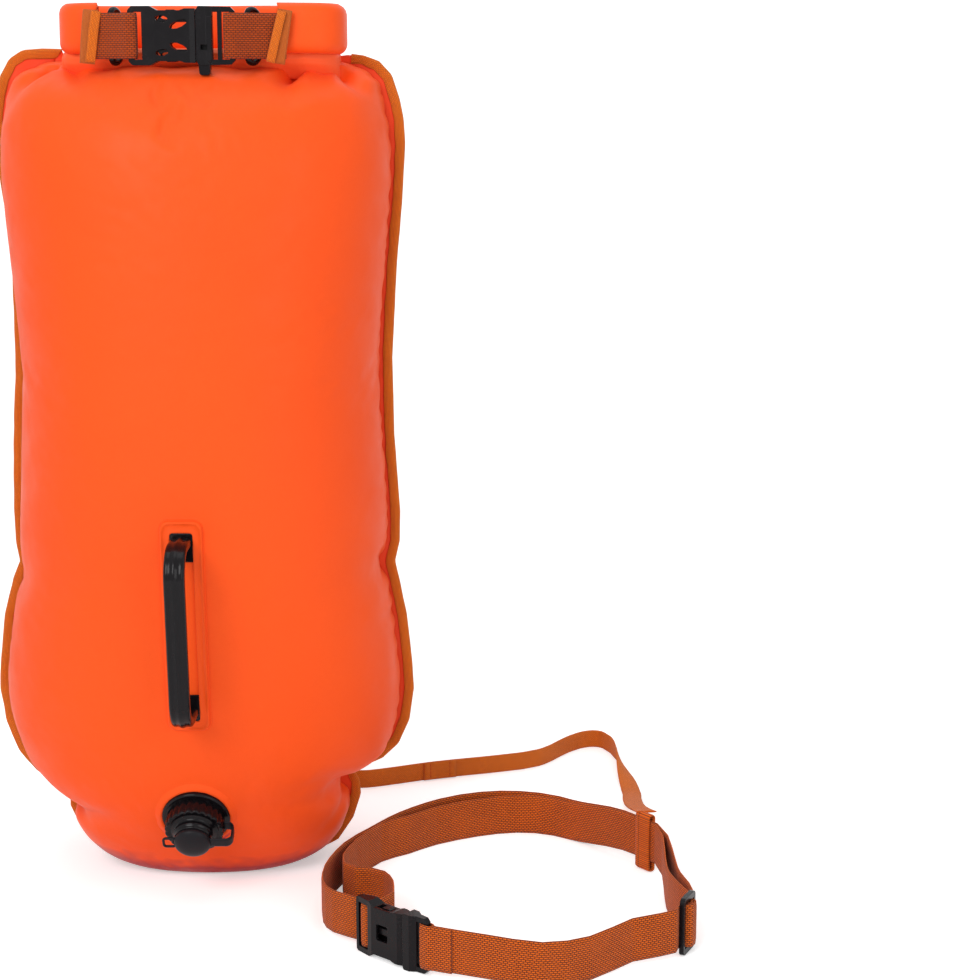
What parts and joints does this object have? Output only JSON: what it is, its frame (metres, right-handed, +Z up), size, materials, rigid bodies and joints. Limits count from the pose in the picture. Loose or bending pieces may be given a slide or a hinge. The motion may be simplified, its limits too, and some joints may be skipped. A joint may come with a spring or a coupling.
{
  "type": "open water swim buoy",
  "caption": "Inflatable swim buoy with a roll-top dry bag, a moulded handle and an air valve on each side, a waist belt and a leash.",
  "frame": {"origin": "middle of the buoy's inner edge of its front foot, on the floor", "axes": "the front faces -Y, +X is to the viewer's right, +Z is up the buoy towards the roll-top"},
  "size_m": [0.5312, 0.5385, 0.6597],
  "materials": {
    "fabric": "coated woven nylon, fluorescent orange, soft sheen",
    "webbing": "amber brown woven webbing, matte",
    "moulding": "black moulded plastic, semi-gloss",
    "rubber": "black soft rubber"
  },
  "bodies": {
    "buoy": {"front_chamber": "fabric", "back_chamber": "fabric", "dry_bag": "fabric", "binding_left": "webbing", "binding_right": "webbing", "handle_front": "moulding", "handle_back": "moulding", "handle_patch_front": "fabric", "handle_patch_back": "fabric", "valve_base_front": "moulding", "valve_base_back": "moulding", "valve_flap_front": "rubber", "valve_flap_back": "rubber", "belt_webbing": "webbing", "belt_tail": "webbing", "belt_buckle_housing": "moulding", "leash": "webbing", "leash_hitch": "webbing", "leash_belt_loop": "webbing"},
    "closure": {"roll": "fabric", "roll_stiffener": "rubber", "roll_strap_left": "webbing", "roll_strap_right": "webbing", "roll_buckle_housing": "moulding"},
    "roll_buckle": {"roll_buckle_plug": "moulding"},
    "roll_arm_upper": {"roll_prong_upper": "moulding"},
    "roll_arm_lower": {"roll_prong_lower": "moulding"},
    "ring_left": {"d_ring_left": "moulding"},
    "ring_right": {"d_ring_right": "moulding"},
    "valve_ring_front": {"valve_body_front": "moulding", "valve_tether_front": "rubber"},
    "valve_ring_back": {"valve_body_back": "moulding", "valve_tether_back": "rubber"},
    "valve_lid_front": {"valve_cap_front": "moulding"},
    "valve_lid_back": {"valve_cap_back": "moulding"},
    "waist_buckle": {"belt_buckle_plug": "moulding"},
    "waist_arm_upper": {"belt_prong_upper": "moulding"},
    "waist_arm_lower": {"belt_prong_lower": "moulding"},
    "slider": {"belt_slider": "moulding"}
  },
  "joints": [
    {"name": "closure_tilt", "type": "hinge", "parent": "buoy", "child": "closure", "pos_m": [0, 0, 0.622], "axis": [-1, 0, 0], "range_deg": [0, 45]},
    {"name": "ring_left_swing", "type": "hinge", "parent": "closure", "child": "ring_left", "pos_m": [-0.0515, -0.066, 0.637], "axis": [0, 0, 1], "range_deg": [-40, 18]},
    {"name": "ring_right_swing", "type": "hinge", "parent": "closure", "child": "ring_right", "pos_m": [0.0455, -0.066, 0.637], "axis": [0, 0, 1], "range_deg": [-30, 21]},
    {"name": "roll_buckle_release", "type": "slide", "parent": "closure", "child": "roll_buckle", "axis": [1, 0, 0], "range_m": [0, 0.026], "deforming": ["roll_strap_right", "roll_prong_upper", "roll_prong_lower"]},
    {"name": "roll_arm_upper_squeeze", "type": "hinge", "parent": "roll_buckle", "child": "roll_arm_upper", "pos_m": [0.00875, -0.0745, 0.64775], "axis": [0, -1, 0], "range_deg": [0, 14], "stiffness_Nm_per_rad": 0.02},
    {"name": "roll_arm_lower_squeeze", "type": "hinge", "parent": "roll_buckle", "child": "roll_arm_lower", "pos_m": [0.00875, -0.0745, 0.62625], "axis": [0, 1, 0], "range_deg": [0, 14], "stiffness_Nm_per_rad": 0.02},
    {"name": "valve_front_unscrew", "type": "hinge", "parent": "buoy", "child": "valve_ring_front", "pos_m": [-0.003, -0.0866, 0.062], "axis": [0, -0.891, -0.454], "range_deg": [0, 360]},
    {"name": "valve_back_unscrew", "type": "hinge", "parent": "buoy", "child": "valve_ring_back", "pos_m": [0.003, 0.08658, 0.062], "axis": [0, 0.891, -0.454], "range_deg": [0, 360]},
    {"name": "valve_front_lid_open", "type": "hinge", "parent": "valve_ring_front", "child": "valve_lid_front", "pos_m": [0.021, -0.10825, 0.05097], "axis": [0, -0.454, 0.891], "range_deg": [0, 120], "deforming": ["valve_tether_front"]},
    {"name": "valve_back_lid_open", "type": "hinge", "parent": "valve_ring_back", "child": "valve_lid_back", "pos_m": [-0.021, 0.10823, 0.05097], "axis": [0, 0.454, 0.891], "range_deg": [0, 120], "deforming": ["valve_tether_back"]},
    {"name": "waist_buckle_release", "type": "slide", "parent": "buoy", "child": "waist_buckle", "axis": [0.7479, -0.6639, 0], "range_m": [0, 0.026], "deforming": ["belt_webbing", "belt_prong_upper", "belt_prong_lower"]},
    {"name": "waist_arm_upper_squeeze", "type": "hinge", "parent": "waist_buckle", "child": "waist_arm_upper", "pos_m": [0.15896, -0.21804, 0.03125], "axis": [-0.6639, -0.7479, 0], "range_deg": [0, 14], "stiffness_Nm_per_rad": 0.02},
    {"name": "waist_arm_lower_squeeze", "type": "hinge", "parent": "waist_buckle", "child": "waist_arm_lower", "pos_m": [0.15896, -0.21804, 0.00975], "axis": [0.6639, 0.7479, 0], "range_deg": [0, 14], "stiffness_Nm_per_rad": 0.02},
    {"name": "slider_adjust", "type": "slide", "parent": "buoy", "child": "slider", "axis": [0.42, 0.9075, 0], "range_m": [-0.012, 0.012], "deforming": ["belt_webbing", "belt_tail"]}
  ],
  "couplings": [
    {"joint": "roll_arm_lower_squeeze", "follows": "roll_arm_upper_squeeze", "ratio": 1},
    {"joint": "waist_arm_lower_squeeze", "follows": "waist_arm_upper_squeeze", "ratio": 1}
  ]
}
